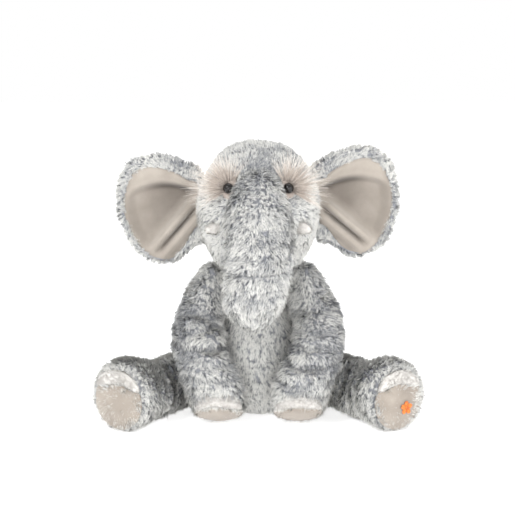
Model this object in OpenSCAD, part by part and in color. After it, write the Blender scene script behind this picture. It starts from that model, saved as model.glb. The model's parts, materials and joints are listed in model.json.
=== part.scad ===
// Seated stuffed elephant: fur covers, fibre fillings, soles, ears, trunk and safety eyes.
// Left and right are the elephant's own: it faces -Y, so its left side is +X.
// The origin is the middle of the seat, on the surface that the elephant sits on.

/* [Torso] */
// Radius of the belly at its widest
torso_r = 66; // [55:1:80]
// Height of the torso, from the seat to the top of the neck opening
torso_h = 163; // [135:1:200]
// Radius of the flat seat under the torso
seat_r = 42; // [30:1:50]

/* [Head] */
// Radius of the head at the cheeks
head_r = 73; // [60:1:88]
// Height of the head, from the neck seam to the crown
head_h = 144; // [120:1:175]
// How far the middle of the head leans in front of the torso
head_lean = 18; // [5:1:26]
// Radius of the fibre ball in the neck
neck_r = 30; // [24:1:33]

/* [Trunk] */
// Radius of the trunk at its root
trunk_r = 33; // [24:1:38]
// Radius of the trunk at its tip
trunk_tip_r = 26; // [18:1:30]
// Length of the trunk, from its root to the middle of its tip
trunk_length = 100; // [80:1:120]

/* [Ears] */
// Width of an ear, from its root to its outer edge
ear_w = 87; // [72:1:105]
// Height of an ear
ear_h = 132; // [108:1:160]
// Depth of the hollow in the front of an ear
ear_cup = 10; // [0:1:16]
// Thickness of the fur back of an ear
ear_back_t = 6; // [3:0.5:8]
// Thickness of the smooth lining of an ear
ear_lining_t = 3; // [1.5:0.5:4]

/* [Arms] */
// Radius of an arm at the elbow
arm_r = 32; // [26:1:39]
// Radius of the flat sole of an arm
arm_sole_r = 28; // [22:1:33]
// Angle between an arm's sole and the floor, toes up
arm_sole_tilt = 38; // [25:1:45]

/* [Legs] */
// Length of a leg, from the middle of the hip to the sole
leg_length = 145; // [120:1:175]
// Radius of a leg at the knee
leg_r = 34; // [28:1:41]
// Radius of a foot, behind the sole
foot_r = 41; // [34:1:48]
// Radius of the flat sole of a foot
leg_sole_r = 34; // [28:1:38]
// Angle that a leg turns out from straight ahead
leg_splay = 33; // [20:1:45]

/* [Face] */
// Diameter of an eye's glossy dome
eye_d = 12; // [9:0.5:15]
// Distance of each eye from the middle of the face
eye_x = 33; // [29:1:42]
// Radius of the pale patch behind an eye
eye_patch_r = 12; // [9:0.5:14]
// Radius of the locking washer behind an eye
washer_r = 8; // [6:0.5:10]
// Radius of a tusk at its root
tusk_r = 7; // [5:0.5:9]
// Length of a tusk, outside the face
tusk_length = 13; // [8:1:20]

/* [Tail] */
// Radius of the tail at its root
tail_r = 8; // [6:0.5:10]
// Length of the tail's fur tube
tail_length = 38; // [25:1:44]

/* [Fabric] */
// Thickness of the fur fabric, with its pile pressed down
fur_t = 5; // [3:0.5:6]
// Thickness of the sole fabric
sole_t = 3; // [2:0.5:4]
// Width of the white toe panel over a sole, at its deepest
toe_depth = 13; // [8:1:18]
// Radius of the embroidered flower on the left foot's sole
motif_r = 8.5; // [5:0.5:11]

/* [Weight bag] */
// Radius of the bag of pellets in the seat
bag_r = 34; // [25:1:38]
// Height of the bag of pellets
bag_h = 30; // [20:1:36]

/* [Hidden] */

fit = 0.3;          // gap between pieces that are sewn or packed together
swing = 0.7;        // gap between pieces that move against each other
ring_n = 20;        // corners of a limb's cross-section
cap_steps = 4;      // rings on the round root of a limb
end_turn = 4;       // rings over which a limb squares up to its sole
dish_steps = 4;     // balls that clear the way for a limb's root in the torso
fur = "#a9acb4";
fibre = "#f1f0ec";
velour = "#cbbfb3";
white = "#e9e6e1";

// ---- Torso outline: [radius, height] up the side ----
torso_side = [
    [seat_r, 0], [0.82 * torso_r, 0.05 * torso_h], [0.95 * torso_r, 0.15 * torso_h],
    [torso_r, 0.30 * torso_h], [0.97 * torso_r, 0.44 * torso_h], [0.85 * torso_r, 0.60 * torso_h],
    [0.69 * torso_r, 0.76 * torso_h], [0.57 * torso_r, 0.90 * torso_h], [0.53 * torso_r, torso_h]
];

// ---- Head outline: [radius, height] from the neck seam to the crown ----
head_side = [
    [0.52 * head_r, 0], [0.72 * head_r, 0.06 * head_h], [0.88 * head_r, 0.18 * head_h],
    [0.97 * head_r, 0.32 * head_h], [head_r, 0.48 * head_h], [0.96 * head_r, 0.64 * head_h],
    [0.84 * head_r, 0.80 * head_h], [0.62 * head_r, 0.92 * head_h], [0.38 * head_r, 0.98 * head_h],
    [0.14 * head_r, head_h]
];

// A smooth curve through the given points
function curve(pts, steps) = [
    for (i = [0 : len(pts) - 2], k = [0 : steps - 1])
        let (
            t = k / steps,
            a = pts[max(i - 1, 0)],
            b = pts[i],
            c = pts[i + 1],
            d = pts[min(i + 2, len(pts) - 1)]
        )
        b + 0.5 * t * ((c - a) + t * ((2 * a - 5 * b + 4 * c - d) + t * (3 * b - a - 3 * c + d))),
    pts[len(pts) - 1]
];
function unit(v) = v / norm(v);
function flipped(pts) = [for (i = [len(pts) - 1 : -1 : 0]) pts[i]];
// An outline moved inwards by the thickness of a cover, and shortened by it at both ends
function shrunk(side, by) =
    let (low = side[0][1] + by, high = side[len(side) - 1][1] - by)
    [for (p = side) [max(p[0] - by, 0), min(max(p[1], low), high)]];
function torso_radius(z) = lookup(z, [for (p = torso_side) [p[1], p[0]]]);
function head_radius(z) = lookup(z - head_z, [for (p = head_side) [p[1], p[0]]]);

// ---- Where the pieces stand ----
neck_gap = 14;                                    // between the torso's top and the head's underside
head_z = torso_h + neck_gap;
neck_up = 4;                                      // the neck's ball sits above the middle of the gap
neck_at = [0, -head_lean / 3, torso_h + neck_gap / 2 + neck_up];
trunk_z = head_z + 0.42 * head_h;
trunk_sunk = 3;
trunk_at = [0, -head_lean - head_radius(trunk_z) + trunk_sunk, trunk_z];
eye_z = head_z + 0.70 * head_h;
tusk_z = head_z + 0.37 * head_h;
ear_t = ear_back_t + ear_lining_t;
ear_gap = 3;                                      // between the head and an ear's back
ear_set_back = 4;
ear_at = [head_r + ear_t / 2 + ear_gap, -head_lean + ear_set_back, head_z + 0.49 * head_h];

// Arm stations: [height, turn round the torso from its side, clear gap to the torso, radius]
arm_root_r = 0.93 * arm_r;
arm_end_z = arm_sole_r * sin(arm_sole_tilt) + 2.5;
shoulder_z = torso_h - 17;
arm_stations = [
    [shoulder_z, 21, -4, arm_root_r],
    [0.82 * shoulder_z, 31, 5, 0.93 * arm_r],
    [0.63 * shoulder_z, 44, 7, arm_r],
    [arm_end_z + 46, 55, 7, arm_r],
    [arm_end_z + 24, 62, 6, 1.05 * arm_r],
    [arm_end_z, 65, 20, arm_sole_r + 1]
];
function arm_point(s) =
    let (reach = torso_radius(s[0]) + s[2] + s[3])
    [reach * cos(s[1]), -reach * sin(s[1]), s[0]];
arm_path = [for (s = arm_stations) arm_point(s)];
arm_radii = [for (s = arm_stations) s[3]];
arm_end_dir = [0, -sin(arm_sole_tilt), -cos(arm_sole_tilt)];

// Leg stations, along the leg from the hip
leg_root_r = 0.9 * leg_r;
hip_z = leg_root_r + 4;
hip_tuck = 44;                                    // how far the hip sits in from the flank and arm
hip_turn = 7;
hip_reach = torso_radius(hip_z) + leg_root_r + arm_r - hip_tuck;
hip_at = [hip_reach * cos(hip_turn), hip_reach * sin(hip_turn), hip_z];
leg_dir = [sin(leg_splay), -cos(leg_splay), 0];
leg_radii = [leg_root_r, 0.96 * leg_r, leg_r, 0.97 * foot_r, foot_r, leg_sole_r + 2];
leg_steps = [0, 0.30, 0.58, 0.78, 0.90, 1];
function leg_height(i) = max(leg_radii[i], hip_z);
leg_path = [
    for (i = [0 : len(leg_steps) - 1])
        let (p = hip_at + leg_dir * leg_length * leg_steps[i])
        [p[0], p[1], leg_height(i)]
];

// Tail stations
tail_z = 52;
tail_lean = 25;           // the tail leans back from straight down
tail_sunk = 2;            // how deep the tail's root sits in the torso
tail_reach = max(torso_radius(tail_z), torso_radius(tail_z - tail_length));
tail_at = [0, tail_reach + tail_r - tail_sunk, tail_z];
tail_dir = [0, sin(tail_lean), -cos(tail_lean)];
tail_end = tail_at + tail_dir * tail_length;

// ---- Lofted sacks: a limb's rings run from its round root to its end ----
function ring(at, dir, ref, r) =
    let (e = unit(cross(dir, ref)), f = cross(dir, e))
    [for (i = [0 : ring_n - 1]) at + r * (e * cos(360 * i / ring_n) + f * sin(360 * i / ring_n))];

// Rings of a sack whose root is a ball round its first point, shrunk inwards by inset
function sack_rings(path, radii, end_dir, ref, inset) =
    let (
        way = curve(path, 2),
        rad = curve([for (r = radii) [r, 0]], 2),
        last = len(way) - 1,
        first_dir = unit(way[1] - way[0]),
        root_r = radii[0] - inset
    )
    concat(
        [for (k = [1 : cap_steps - 1])
            let (a = 90 * k / cap_steps)
            ring(way[0] - first_dir * root_r * cos(a), first_dir, ref, root_r * sin(a))],
        [for (i = [0 : last])
            let (
                along = i == 0 ? first_dir : unit(way[min(i + 1, last)] - way[i - 1]),
                square = max(0, 1 - (last - i) / end_turn)
            )
            ring(way[i], unit((1 - square) * along + square * end_dir), ref, rad[i][0] - inset)]
    );
function sack_pole(path, radii, inset) =
    path[0] - unit(curve(path, 2)[1] - path[0]) * (radii[0] - inset);

// One closed skin through a list of rings, with a point at each end
module skin(start, rings, finish) {
    n = len(rings[0]);
    m = len(rings);
    points = concat([start], [for (r = rings, p = r) p], [finish]);
    faces = concat(
        [for (i = [0 : n - 1]) [0, 1 + i, 1 + (i + 1) % n]],
        [for (j = [0 : m - 2], i = [0 : n - 1])
            let (a = 1 + j * n + i, b = 1 + j * n + (i + 1) % n) [a, a + n, b + n]],
        [for (j = [0 : m - 2], i = [0 : n - 1])
            let (a = 1 + j * n + i, b = 1 + j * n + (i + 1) % n) [a, b + n, b]],
        [for (i = [0 : n - 1])
            let (base = 1 + (m - 1) * n) [base + n, base + (i + 1) % n, base + i]]
    );
    polyhedron(points = points, faces = faces, convexity = 4);
}

// A fur tube, closed at its root and open at its end
module sack_cover(path, radii, end_dir, ref) {
    outer = sack_rings(path, radii, end_dir, ref, 0);
    inner = sack_rings(path, radii, end_dir, ref, fur_t);
    skin(sack_pole(path, radii, 0), concat(outer, flipped(inner)), sack_pole(path, radii, fur_t));
}

// The stuffing inside a fur tube, flat at the tube's open end
module sack_filling(path, radii, end_dir, ref) {
    inset = fur_t + fit;
    rings = sack_rings(path, radii, end_dir, ref, inset);
    skin(sack_pole(path, radii, inset), rings, path[len(path) - 1]);
}

// Mirrors a piece of the left side to the right side
module on_side(side) {
    mirror([side < 0 ? 1 : 0, 0, 0]) children();
}

// ---- Torso ----
module turned(side) {
    top = side[len(side) - 1][1];
    rotate_extrude($fn = 96) polygon(concat([[0, side[0][1]]], side, [[0, top]]));
}
module torso_sockets() {
    translate(neck_at) sphere(r = neck_r + swing, $fn = 96);
    translate(tail_at) sphere(r = tail_r + swing, $fn = 48);
    for (side = [-1, 1]) on_side(side) {
        limb_socket(arm_path, arm_radii);
        limb_socket(leg_path, leg_radii);
    }
}
// A dish for a limb's round root and the start of its tube
module limb_socket(path, radii) {
    way = curve(path, dish_steps);
    rad = curve([for (r = radii) [r, 0]], dish_steps);
    for (i = [0 : dish_steps - 1])
        translate(way[i]) sphere(r = rad[i][0] + swing, $fn = 96);
}
module torso_cover() {
    smooth_side = curve(torso_side, 2);
    color(fur) difference() {
        turned(smooth_side);
        turned(shrunk(smooth_side, fur_t));
        torso_sockets();
    }
}
bag_up = 6;               // fibre under the bag
bag_t = 1.5;
bag_z = fur_t + bag_up + bag_h / 2;
module cushion(r, h) {
    rotate_extrude($fn = 64)
        polygon([for (a = [-90 : 15 : 90]) [r * cos(a), h / 2 * sin(a)]]);
}
module torso_filling() {
    color(fibre) difference() {
        turned(shrunk(curve(torso_side, 2), fur_t + fit));
        torso_sockets();
        translate([0, 0, bag_z]) cushion(bag_r + fit, bag_h + 2 * fit);
    }
}
module pellet_bag() {
    color("#d8d2c4") translate([0, 0, bag_z]) difference() {
        cushion(bag_r, bag_h);
        cushion(bag_r - bag_t, bag_h - 2 * bag_t);
    }
}
module pellets() {
    color("#f7f7f5") translate([0, 0, bag_z]) cushion(bag_r - bag_t - fit, bag_h - 2 * (bag_t + fit));
}
module neck_filling() {
    color(fibre) translate(neck_at) sphere(r = neck_r, $fn = 96);
}

// ---- Head ----
trunk_lean = 25;          // the trunk's root leans forward from straight down
trunk_slack = 1.6;        // gap round the trunk's root, so that it can curl up
trunk_way = [
    trunk_at,
    trunk_at + trunk_length * [0, -0.14, -0.30],
    trunk_at + trunk_length * [0, -0.20, -0.62],
    trunk_at + trunk_length * [0, -0.19, -0.90],
    trunk_at + trunk_length * [0, -0.16, -1.02],
    trunk_at + trunk_length * [0, -0.13, -1.11]
];
trunk_radii = [
    trunk_r, trunk_r, 0.35 * trunk_tip_r + 0.65 * trunk_r, 0.9 * trunk_tip_r + 0.1 * trunk_r,
    0.82 * trunk_tip_r, 0.5 * trunk_tip_r
];
trunk_end_dir = unit([0, 0.3, -0.95]);

// Puts a piece on the face, with its own +Z pointing out of the fur
module on_face(side, x, z, yaw, pitch) {
    r = head_radius(z);
    on_side(side)
        translate([x, -head_lean - sqrt(r * r - x * x), z])
            rotate([90 - pitch, 0, yaw]) children();
}
eye_turn = 30;            // an eye looks out to its side, and up
eye_up = 20;
tusk_x = 0.68 * head_r;
tusk_turn = 58;
tusk_up = -4;
module at_eye(side) { on_face(side, eye_x, eye_z, eye_turn, eye_up) children(); }
module at_tusk(side) { on_face(side, tusk_x, tusk_z, tusk_turn, tusk_up) children(); }

stem_r = 2;
stem_gap = 0.1;           // round an eye's stem in its washer and patch
stem_hole = 20;           // length of the hole for an eye's stem
patch_out = 1.5;          // how far an eye patch stands out of the fur
patch_in = 3.5;           // how far it is set into the fur
washer_t = 1.5;
washer_gap = 1.6;         // between the fur's back and a washer
stem_length = fur_t + washer_t + 4;
tusk_in = 3;              // how far a tusk is set into the fur
clear_out = 12;           // length of a clearing cut outside the fur
socket_length = 60;       // length of the channel for the trunk's root
module head_sockets() {
    translate(neck_at) sphere(r = neck_r + swing, $fn = 96);
    translate(trunk_at) rotate([-trunk_lean, 0, 0]) trunk_socket(trunk_r + trunk_slack, socket_length);
}
// A round-ended channel that holds the trunk's root
module trunk_socket(r, length) {
    round_end = [for (a = [0 : 7.5 : 90]) [r * cos(a), r * sin(a)]];
    rotate_extrude($fn = 96) polygon(concat([[0, -length], [r, -length]], round_end));
}
module head_shape(inset) {
    translate([0, -head_lean, head_z]) turned(shrunk(curve(head_side, 2), inset));
}
module head_cover() {
    color(fur) difference() {
        head_shape(0);
        head_shape(fur_t);
        head_sockets();
        for (side = [-1, 1]) {
            at_eye(side) translate([0, 0, -patch_in])
                cylinder(r = eye_patch_r + fit, h = patch_in + clear_out, $fn = 48);
            at_eye(side) translate([0, 0, -0.75 * stem_hole])
                cylinder(r = stem_r + fit, h = stem_hole, $fn = 24);
            at_tusk(side) translate([0, 0, -tusk_in])
                cylinder(r = tusk_r + fit, h = tusk_in + clear_out, $fn = 32);
        }
    }
}
module head_filling() {
    color(fibre) difference() {
        head_shape(fur_t + fit);
        head_sockets();
        for (side = [-1, 1])
            at_eye(side) translate([0, 0, -stem_length - fit])
                cylinder(r = washer_r + fit, h = stem_length, $fn = 48);
    }
}
module eye(side) {
    color("#2a1c14") at_eye(side) {
        translate([0, 0, patch_out + fit]) intersection() {
            translate([0, 0, eye_d * 0.1]) sphere(d = eye_d, $fn = 48);
            cylinder(d = eye_d + 1, h = eye_d, $fn = 48);
        }
        translate([0, 0, -stem_length]) cylinder(r = stem_r, h = stem_length + 4, $fn = 24);
    }
}
module eye_washer(side) {
    color("#e4e4e0") at_eye(side) translate([0, 0, -fur_t - washer_t - washer_gap]) difference() {
        cylinder(r = washer_r, h = washer_t, $fn = 48);
        translate([0, 0, -1]) cylinder(r = stem_r + stem_gap, h = washer_t + 2, $fn = 24);
    }
}
module eye_patch(side) {
    color("#d9c4bc") at_eye(side) difference() {
        translate([0, 0, fit - patch_in])
            cylinder(r = eye_patch_r, h = patch_in + patch_out - fit, $fn = 48);
        translate([0, 0, -stem_hole / 2]) cylinder(r = stem_r + stem_gap, h = stem_hole, $fn = 24);
    }
}
module tusk(side) {
    tip_r = 0.6 * tusk_r;
    color(white) at_tusk(side) {
        translate([0, 0, fit - tusk_in])
            cylinder(r1 = tusk_r, r2 = tip_r, h = tusk_length - tip_r + tusk_in, $fn = 32);
        translate([0, 0, tusk_length - tip_r + fit]) sphere(r = tip_r, $fn = 32);
    }
}

// ---- Trunk ----
module trunk_cover() {
    color(fur) sack_cover(trunk_way, trunk_radii, trunk_end_dir, [1, 0, 0]);
}
module trunk_filling() {
    color(fibre) sack_filling(trunk_way, trunk_radii, trunk_end_dir, [1, 0, 0]);
}

// ---- Ears: [out from the root, up] round the outline, in parts of the ear's width and height ----
ear_outline = [
    [0, 0.20], [0.10, 0.36], [0.34, 0.49], [0.64, 0.50], [0.88, 0.38], [1.00, 0.14],
    [0.97, -0.12], [0.84, -0.34], [0.66, -0.48], [0.48, -0.49], [0.30, -0.38], [0.10, -0.22],
    [0, -0.15], [0, 0.02]
];
ear_middle = [0.46, 0.02];
ear_levels = 4;
function ear_edge() =
    [for (p = curve(concat(ear_outline, [ear_outline[0]]), 2)) [max(p[0], 0), p[1]]];
// The ring of the ear's sheet at part f of the way to its edge, y in front of the cupped middle
function ear_ring(f, y) =
    let (edge = ear_edge())
    [for (i = [0 : len(edge) - 2])
        let (p = ear_middle + f * (edge[i] - ear_middle))
        [p[0] * ear_w, ear_cup * (1 - f * f) - y, p[1] * ear_h]];
module ear_sheet(side, front, back, shrink) {
    fs = [for (k = [1 : ear_levels]) k / ear_levels * shrink];
    rings = concat([for (f = fs) ear_ring(f, front)], [for (f = flipped(fs)) ear_ring(f, back)]);
    middle = [ear_middle[0] * ear_w, ear_cup, ear_middle[1] * ear_h];
    on_side(side) translate(ear_at)
        skin(middle - [0, front, 0], rings, middle - [0, back, 0]);
}
module ear_back(side) {
    color(fur) ear_sheet(side, 0, -ear_back_t, 1);
}
module ear_lining(side) {
    color(velour) ear_sheet(side, ear_lining_t + fit, fit, 0.95);
}

// ---- Soles: a velour disc with a white toe panel over its upper edge ----
module sole_disc(r, depth) {
    intersection() {
        cylinder(r = r, h = sole_t, $fn = 64);
        translate([0, -depth, -1]) cylinder(r = r, h = sole_t + 2, $fn = 64);
    }
}
module toe_panel(r, depth) {
    difference() {
        cylinder(r = r, h = sole_t, $fn = 64);
        translate([0, -depth, -1]) cylinder(r = r + fit, h = sole_t + 2, $fn = 64);
    }
}

// ---- Arms ----
module at_arm_end(side) {
    on_side(side) translate(arm_path[5] + arm_end_dir * fit)
        rotate([180 - arm_sole_tilt, 0, 0]) children();
}
module arm_cover(side) {
    color(fur) on_side(side) sack_cover(arm_path, arm_radii, arm_end_dir, [1, 0, 0]);
}
module arm_filling(side) {
    color(fibre) on_side(side) sack_filling(arm_path, arm_radii, arm_end_dir, [1, 0, 0]);
}
module arm_sole(side) {
    color(velour) at_arm_end(side) sole_disc(arm_sole_r, toe_depth);
}
module arm_toe(side) {
    color(white) at_arm_end(side) toe_panel(arm_sole_r, toe_depth);
}

// ---- Legs ----
module at_leg_end(side) {
    on_side(side) translate(leg_path[5] + leg_dir * fit)
        rotate([90, 0, leg_splay]) children();
}
module leg_cover(side) {
    color(fur) on_side(side) sack_cover(leg_path, leg_radii, leg_dir, [0, 0, 1]);
}
module leg_filling(side) {
    color(fibre) on_side(side) sack_filling(leg_path, leg_radii, leg_dir, [0, 0, 1]);
}
module leg_sole(side) {
    color(velour) at_leg_end(side) sole_disc(leg_sole_r, toe_depth);
}
module leg_toe(side) {
    color(white) at_leg_end(side) toe_panel(leg_sole_r, toe_depth);
}
// A small five-petalled flower in raised stitching
motif_at = [8, -8];       // from the middle of the sole
stitch_t = 1;
module sole_motif() {
    petals = 5;
    color("#e07a35") at_leg_end(1) translate([motif_at[0], motif_at[1], sole_t]) {
        cylinder(r = 0.3 * motif_r, h = stitch_t, $fn = 32);
        for (i = [0 : petals - 1])
            rotate([0, 0, 360 * i / petals]) translate([0, 0.6 * motif_r, 0])
                cylinder(r = 0.4 * motif_r, h = stitch_t, $fn = 32);
    }
}

// ---- Tail ----
module tail_cover() {
    way = [tail_at, tail_at + tail_dir * tail_length * 0.5, tail_end];
    rings = sack_rings(way, [tail_r, 0.85 * tail_r, 0.75 * tail_r], tail_dir, [1, 0, 0], 0);
    color(fur) skin(sack_pole(way, [tail_r], 0), rings, tail_end);
}
module tail_tuft() {
    color(fur) translate(tail_end + tail_dir * fit) rotate([180 + tail_lean, 0, 0])
        cylinder(r1 = 0.75 * tail_r, r2 = 0.4 * tail_r, h = tail_r, $fn = 32);
}

torso_cover();
torso_filling();
pellet_bag();
pellets();
neck_filling();
head_cover();
head_filling();
trunk_cover();
trunk_filling();
eye(1);  // eye_left
eye(-1);  // eye_right
eye_washer(1);  // eye_washer_left
eye_washer(-1);  // eye_washer_right
eye_patch(1);  // eye_patch_left
eye_patch(-1);  // eye_patch_right
tusk(1);  // tusk_left
tusk(-1);  // tusk_right
ear_back(1);  // ear_back_left
ear_back(-1);  // ear_back_right
ear_lining(1);  // ear_lining_left
ear_lining(-1);  // ear_lining_right
arm_cover(1);  // arm_cover_left
arm_cover(-1);  // arm_cover_right
arm_filling(1);  // arm_filling_left
arm_filling(-1);  // arm_filling_right
arm_sole(1);  // arm_sole_left
arm_sole(-1);  // arm_sole_right
arm_toe(1);  // arm_toe_left
arm_toe(-1);  // arm_toe_right
leg_cover(1);  // leg_cover_left
leg_cover(-1);  // leg_cover_right
leg_filling(1);  // leg_filling_left
leg_filling(-1);  // leg_filling_right
leg_sole(1);  // leg_sole_left
leg_sole(-1);  // leg_sole_right
leg_toe(1);  // leg_toe_left
leg_toe(-1);  // leg_toe_right
sole_motif();
tail_cover();
tail_tuft();
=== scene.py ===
import bpy
import json
import math
import numpy as np
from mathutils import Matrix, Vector

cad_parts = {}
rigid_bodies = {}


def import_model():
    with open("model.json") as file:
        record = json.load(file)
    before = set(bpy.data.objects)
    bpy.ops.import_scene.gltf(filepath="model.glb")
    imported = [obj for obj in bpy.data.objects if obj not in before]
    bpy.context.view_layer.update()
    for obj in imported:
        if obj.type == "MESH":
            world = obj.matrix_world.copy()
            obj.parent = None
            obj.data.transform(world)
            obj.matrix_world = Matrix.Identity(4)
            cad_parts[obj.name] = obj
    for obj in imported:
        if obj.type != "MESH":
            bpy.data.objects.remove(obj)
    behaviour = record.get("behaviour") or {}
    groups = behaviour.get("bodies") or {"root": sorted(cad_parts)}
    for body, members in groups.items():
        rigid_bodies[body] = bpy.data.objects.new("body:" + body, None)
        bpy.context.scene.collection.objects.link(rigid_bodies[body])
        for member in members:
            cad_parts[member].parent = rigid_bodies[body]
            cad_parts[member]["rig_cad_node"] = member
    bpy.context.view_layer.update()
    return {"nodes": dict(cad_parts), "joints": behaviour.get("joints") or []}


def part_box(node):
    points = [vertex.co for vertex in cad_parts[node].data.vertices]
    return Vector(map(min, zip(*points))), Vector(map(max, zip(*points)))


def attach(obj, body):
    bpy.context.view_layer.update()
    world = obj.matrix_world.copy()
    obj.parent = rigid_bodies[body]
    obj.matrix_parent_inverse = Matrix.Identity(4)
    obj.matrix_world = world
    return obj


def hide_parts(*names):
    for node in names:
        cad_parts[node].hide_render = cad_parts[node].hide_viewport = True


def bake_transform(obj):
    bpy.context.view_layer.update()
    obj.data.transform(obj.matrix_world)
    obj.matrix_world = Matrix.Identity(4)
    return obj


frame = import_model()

scene = bpy.context.scene
mm = 0.001
sides = {"left": 1, "right": -1}          # the elephant's own sides; its left is +X
print("frame loaded,", len(frame["nodes"]), "nodes")


# Small helpers
def jointAt(name):
    return np.array(next(j["pos_m"] for j in frame["joints"] if j["name"] == name), float)


def boxOf(node):
    low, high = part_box(node)
    return np.array(low, float), np.array(high, float)


def unit(v):
    return v / np.maximum(np.linalg.norm(v, axis=-1, keepdims=True), 1e-9)


def smoothStep(low, high, x):
    t = np.clip((x - low) / (high - low), 0, 1)
    return t * t * (3 - 2 * t)


def meshObject(name, points, faces, smooth=True):
    mesh = bpy.data.meshes.new(name)
    mesh.from_pydata([tuple(p) for p in points], [], [tuple(f) for f in faces])
    mesh.update()
    obj = bpy.data.objects.new(name, mesh)
    scene.collection.objects.link(obj)
    if smooth:
        mesh.shade_smooth()
    return obj


def pointsOf(obj):
    co = np.empty(len(obj.data.vertices) * 3)
    obj.data.vertices.foreach_get("co", co)
    return co.reshape(-1, 3)


def setPoints(obj, co):
    obj.data.vertices.foreach_set("co", np.asarray(co, np.float32).ravel())
    obj.data.update()


def normalsOf(obj):
    n = np.empty(len(obj.data.vertices) * 3)
    obj.data.vertex_normals.foreach_get("vector", n)
    return n.reshape(-1, 3)


def applyAll(obj):
    graph = bpy.context.evaluated_depsgraph_get()
    graph.update()
    mesh = bpy.data.meshes.new_from_object(obj.evaluated_get(graph))
    obj.modifiers.clear()
    old = obj.data
    obj.data = mesh
    bpy.data.meshes.remove(old)
    return obj


def joined(name, objects):
    allPoints, allFaces, start = [], [], 0
    for o in objects:
        allPoints.append(pointsOf(o))
        allFaces += [[start + v for v in p.vertices] for p in o.data.polygons]
        start += len(o.data.vertices)
        if "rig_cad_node" not in o:
            bpy.data.objects.remove(o)
    return meshObject(name, np.vstack(allPoints), allFaces)


# Smooth noise between -1 and 1, from a hashed grid
def softNoise(p, size, seed):
    q = p / size + seed * 17.31
    cell = np.floor(q).astype(np.int64)
    f = q - cell
    f = f * f * (3 - 2 * f)
    total = np.zeros(len(p))
    for corner in range(8):
        step = np.array([corner & 1, corner >> 1 & 1, corner >> 2 & 1])
        c = cell + step
        h = (c[:, 0] * 73856093) ^ (c[:, 1] * 19349663) ^ (c[:, 2] * 83492791) ^ (seed * 2654435)
        h = ((h ^ (h >> 13)) * 1274126177) & 0x7FFFFFFF
        value = (h % 65521) / 65521 * 2 - 1
        weight = np.prod(np.where(step == 1, f, 1 - f), axis=1)
        total += value * weight
    return total


# Faces between rings of the same size, the first ring starting at the given point
def ringFaces(rows, n, start=0):
    faces = []
    for j in range(rows - 1):
        a, b = start + j * n, start + (j + 1) * n
        faces += [(a + i, a + (i + 1) % n, b + (i + 1) % n, b + i) for i in range(n)]
    return faces


# A smooth step from b to c, led by the points before and after them
def between(a, b, c, d, t):
    return b + 0.5 * t * (c - a + t * (2 * a - 5 * b + 4 * c - d + t * (3 * b - a - 3 * c + d)))


# A tube through given points, with round ends; each point is x, y, z, radius
def tube(name, stations, around=28, steps=5, flat=1.0, flatAxis=(0, 1, 0)):
    s = np.array(stations, float)
    pad = np.vstack([2 * s[0] - s[1], s, 2 * s[-1] - s[-2]])
    way = []
    for i in range(1, len(pad) - 2):
        a, b, c, d = pad[i - 1], pad[i], pad[i + 1], pad[i + 2]
        for k in range(steps):
            way.append(between(a, b, c, d, k / steps))
    way.append(s[-1])
    way = np.array(way)
    centre, radius = way[:, :3], way[:, 3]
    direction = unit(np.gradient(centre, axis=0))
    rings = []
    capAngles = np.radians([15, 35, 55, 75])
    for a in capAngles:
        at = centre[0] - direction[0] * radius[0] * math.cos(a)
        rings.append((at, direction[0], radius[0] * math.sin(a)))
    rings += list(zip(centre, direction, radius))
    for a in capAngles[::-1]:
        at = centre[-1] + direction[-1] * radius[-1] * math.cos(a)
        rings.append((at, direction[-1], radius[-1] * math.sin(a)))
    points = [centre[0] - direction[0] * radius[0]]
    lean = np.array(flatAxis, float)
    angles = np.linspace(0, 2 * math.pi, around, endpoint=False)
    for at, heading, r in rings:
        e = unit(np.cross(heading, lean + [1e-4, 2e-4, 0]))
        f = np.cross(heading, e)
        points += list(at + r * (np.outer(np.cos(angles), e) + flat * np.outer(np.sin(angles), f)))
    points.append(centre[-1] + direction[-1] * radius[-1])
    faces = [(0, 1 + (i + 1) % around, 1 + i) for i in range(around)]
    faces += ringFaces(len(rings), around, 1)
    last = 1 + (len(rings) - 1) * around
    faces += [(last + i, last + (i + 1) % around, last + around) for i in range(around)]
    return meshObject(name, points, faces)


# One closed skin round everything given, evened out
def wrapped(name, objects, voxel=4 * mm, smoothing=6):
    obj = joined(name, objects)
    remesh = obj.modifiers.new("remesh", "REMESH")
    remesh.mode = "VOXEL"
    remesh.voxel_size = voxel
    soften = obj.modifiers.new("soften", "SMOOTH")
    soften.factor = 0.6
    soften.iterations = smoothing
    applyAll(obj)
    obj.data.shade_smooth()
    return obj


# Cloth: the skin swells a little against its seams, which leaves puckers
cloth = {"pressure": 4.0, "frames": 20, "cap": 6 * mm, "stiffness": 12}


def plump(obj, pinned, cap=cloth["cap"]):
    before = pointsOf(obj)
    group = obj.vertex_groups.new(name="seams")
    for i in np.flatnonzero(pinned(before) > 0.5):
        group.add([int(i)], 1.0, "REPLACE")
    mod = obj.modifiers.new("cloth", "CLOTH")
    settings = mod.settings
    settings.use_pressure = True
    settings.uniform_pressure_force = cloth["pressure"]
    settings.tension_stiffness = cloth["stiffness"]
    settings.compression_stiffness = cloth["stiffness"]
    settings.effector_weights.gravity = 0
    settings.vertex_group_mass = "seams"
    mod.point_cache.frame_start = 1
    mod.point_cache.frame_end = cloth["frames"]
    for f in range(1, cloth["frames"] + 1):
        scene.frame_set(f)
    graph = bpy.context.evaluated_depsgraph_get()
    after = pointsOf(obj.evaluated_get(graph))
    obj.modifiers.clear()
    obj.vertex_groups.clear()
    moved = after - before
    far = np.linalg.norm(moved, axis=1, keepdims=True)
    setPoints(obj, before + moved * np.minimum(1, cap / np.maximum(far, 1e-9)))
    scene.frame_set(1)
    return obj


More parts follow.
